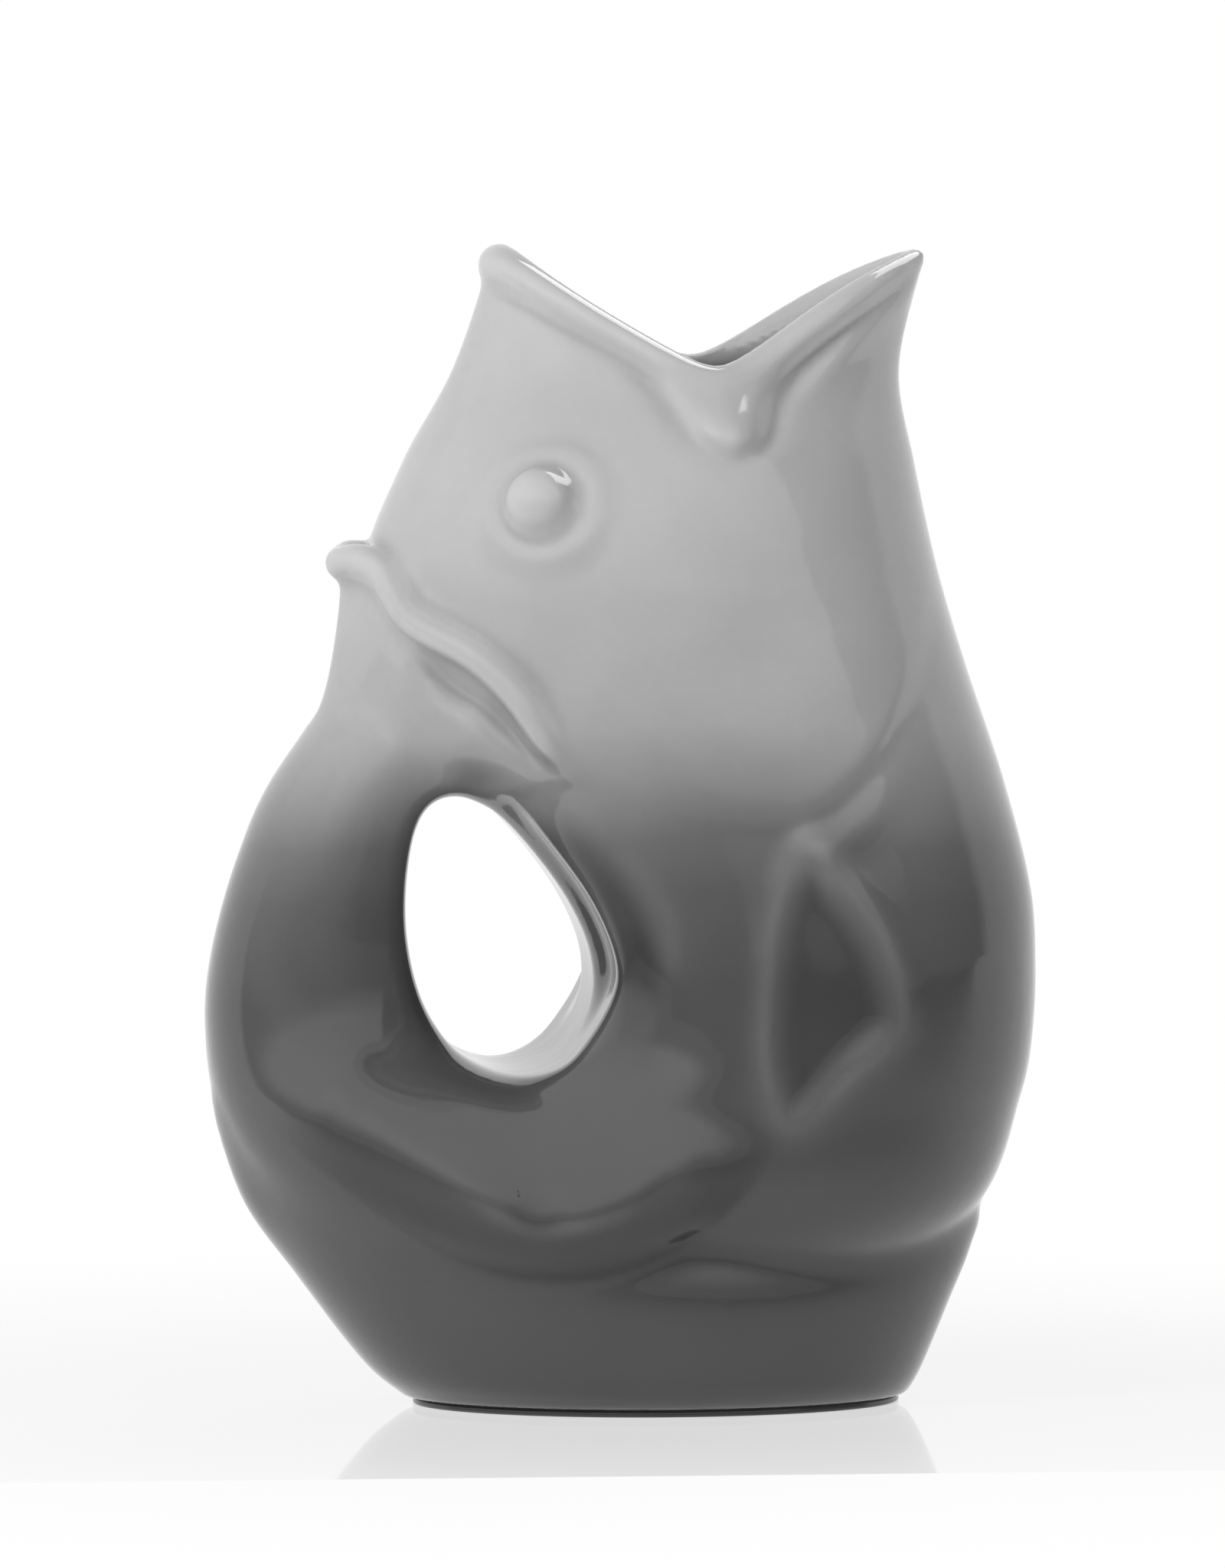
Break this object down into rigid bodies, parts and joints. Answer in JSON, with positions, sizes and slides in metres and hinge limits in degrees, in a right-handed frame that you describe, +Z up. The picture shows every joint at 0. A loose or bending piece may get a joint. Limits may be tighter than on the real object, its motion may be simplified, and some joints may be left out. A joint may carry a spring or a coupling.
{
  "type": "gurgle jug",
  "caption": "Glazed stoneware gurgle jug in the shape of a fish, with an open notched mouth and spout above and a hollow curled tail as the handle",
  "frame": {"origin": "bottom centre of the bounding box, on the surface that the jug stands on", "axes": "+X towards the spout, +Y across the jug to the fish's left, which is away from the picture's viewer, +Z up"},
  "size_m": [0.1858, 0.1154, 0.2591],
  "materials": {
    "glaze": "high gloss grey glaze that fades from light at the mouth to dark at the foot",
    "bare_clay": "dry unglazed stoneware"
  },
  "bodies": {
    "root": {"base_bowl": "glaze", "foot_ring": "bare_clay", "body_shell": "glaze", "tail_handle": "glaze", "tail_fin": "glaze", "left_eye": "glaze", "right_eye": "glaze", "left_fin": "glaze", "right_fin": "glaze"}
  },
  "joints": []
}
